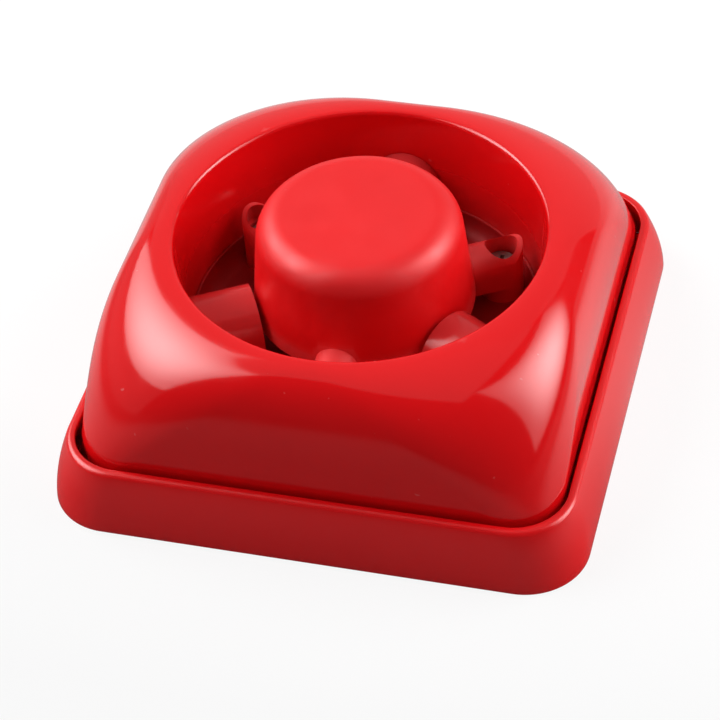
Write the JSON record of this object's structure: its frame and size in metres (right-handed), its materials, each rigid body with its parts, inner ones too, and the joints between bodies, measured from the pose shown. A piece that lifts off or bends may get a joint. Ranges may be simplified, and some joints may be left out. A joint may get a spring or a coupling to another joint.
{
  "type": "wall sounder horn",
  "caption": "Square red wall-mounted alarm sounder with a domed cover, a round horn mouth and a central reflector cap over a piezo driver.",
  "frame": {"origin": "centre of the flat back face that lies against the wall", "axes": "+Z out of the wall into the room, along the horn; +Y up on the wall; +X to the right seen from the front"},
  "size_m": [0.12, 0.12, 0.0485],
  "materials": {
    "red_gloss_abs": "polished moulded ABS",
    "red_satin_abs": "satin moulded ABS",
    "red_bowl_abs": "satin moulded ABS",
    "red_matt_abs": "matt moulded ABS",
    "zinc_steel": "zinc plated",
    "clamp_screw_steel": "nickel plated",
    "cage_brass": "tinned brass",
    "gasket_foam": "closed-cell foam",
    "disc_brass": "rolled brass",
    "piezo_ceramic": "silvered ceramic",
    "black_abs": "moulded ABS",
    "black_lead": "insulated wire",
    "red_lead": "insulated wire",
    "board_green": "solder mask over glass-epoxy",
    "terminal_green": "moulded polyamide",
    "tinned_contact": "tinned brass",
    "switch_red": "moulded",
    "slider_white": "moulded",
    "trimmer_blue": "moulded",
    "rotor_white": "moulded",
    "tamper_black": "moulded",
    "plunger_white": "moulded acetal",
    "spring_steel": "music wire",
    "can_sleeve": "shrink sleeve over an aluminium can",
    "ferrite": "sintered ferrite",
    "copper_winding": "enamelled copper wire",
    "chip_black": "moulded epoxy, tinned feet",
    "resistor_black": "glazed chip",
    "capacitor_tan": "ceramic chip"
  },
  "bodies": {
    "housing": {"base_tray": "red_satin_abs", "board_screws": "zinc_steel", "brass_disc": "disc_brass", "ceramic_disc": "piezo_ceramic", "ceramic_lead": "red_lead", "chip_capacitors": "capacitor_tan", "chip_resistors": "resistor_black", "circuit_board": "board_green", "coil_core": "ferrite", "coil_winding": "copper_winding", "control_chip": "chip_black", "disc_lead": "black_lead", "driver_gasket": "gasket_foam", "driver_retainer": "black_abs", "driver_transistor": "chip_black", "front_cover": "red_gloss_abs", "front_screws": "zinc_steel", "horn_bowl": "red_bowl_abs", "hub_cap": "red_matt_abs", "polarity_diode": "chip_black", "reservoir_capacitor": "can_sleeve", "retainer_screws": "zinc_steel", "tamper_housing": "tamper_black", "tamper_spring": "spring_steel", "terminal_block": "terminal_green", "terminal_contacts": "tinned_contact", "tone_switch_body": "switch_red", "volume_trimmer_body": "trimmer_blue"},
    "tamper_plunger": {"tamper_plunger": "plunger_white"},
    "volume_rotor": {"volume_rotor": "rotor_white"},
    "tone_slider_1": {"tone_slider_1": "slider_white"},
    "tone_slider_2": {"tone_slider_2": "slider_white"},
    "tone_slider_3": {"tone_slider_3": "slider_white"},
    "tone_slider_4": {"tone_slider_4": "slider_white"},
    "terminal_screw_1": {"terminal_screw_1": "clamp_screw_steel"},
    "terminal_cage_1": {"terminal_cage_1": "cage_brass"},
    "terminal_screw_2": {"terminal_screw_2": "clamp_screw_steel"},
    "terminal_cage_2": {"terminal_cage_2": "cage_brass"},
    "terminal_screw_3": {"terminal_screw_3": "clamp_screw_steel"},
    "terminal_cage_3": {"terminal_cage_3": "cage_brass"}
  },
  "joints": [
    {"name": "tamper_press", "type": "slide", "parent": "housing", "child": "tamper_plunger", "axis": [0, 0, 1], "range_m": [-0.0015, 0], "stiffness_N_per_m": 120, "springref_m": 0.0015, "deforming": ["tamper_spring"]},
    {"name": "volume_turn", "type": "hinge", "parent": "housing", "child": "volume_rotor", "pos_m": [0.0445, -0.026, 0.0127], "axis": [0, 0, 1], "range_deg": [-130, 130]},
    {"name": "tone_slide_1", "type": "slide", "parent": "housing", "child": "tone_slider_1", "axis": [0, 1, 0], "range_m": [0, 0.002]},
    {"name": "tone_slide_2", "type": "slide", "parent": "housing", "child": "tone_slider_2", "axis": [0, 1, 0], "range_m": [0, 0.002]},
    {"name": "tone_slide_3", "type": "slide", "parent": "housing", "child": "tone_slider_3", "axis": [0, 1, 0], "range_m": [0, 0.002]},
    {"name": "tone_slide_4", "type": "slide", "parent": "housing", "child": "tone_slider_4", "axis": [0, 1, 0], "range_m": [0, 0.002]},
    {"name": "clamp_turn_1", "type": "hinge", "parent": "housing", "child": "terminal_screw_1", "pos_m": [-0.03288, -0.03995, 0.0147], "axis": [0, 0, 1], "range_deg": [-900, 0]},
    {"name": "cage_rise_1", "type": "slide", "parent": "housing", "child": "terminal_cage_1", "axis": [0, 0, 1], "range_m": [0, 0.00112]},
    {"name": "clamp_turn_2", "type": "hinge", "parent": "housing", "child": "terminal_screw_2", "pos_m": [-0.03642, -0.03642, 0.0147], "axis": [0, 0, 1], "range_deg": [-900, 0]},
    {"name": "cage_rise_2", "type": "slide", "parent": "housing", "child": "terminal_cage_2", "axis": [0, 0, 1], "range_m": [0, 0.00112]},
    {"name": "clamp_turn_3", "type": "hinge", "parent": "housing", "child": "terminal_screw_3", "pos_m": [-0.03995, -0.03288, 0.0147], "axis": [0, 0, 1], "range_deg": [-900, 0]},
    {"name": "cage_rise_3", "type": "slide", "parent": "housing", "child": "terminal_cage_3", "axis": [0, 0, 1], "range_m": [0, 0.00112]}
  ],
  "couplings": [
    {"joint": "clamp_turn_1", "follows": "cage_rise_1", "rad_per_m": -13963},
    {"joint": "clamp_turn_2", "follows": "cage_rise_2", "rad_per_m": -13963},
    {"joint": "clamp_turn_3", "follows": "cage_rise_3", "rad_per_m": -13963}
  ]
}
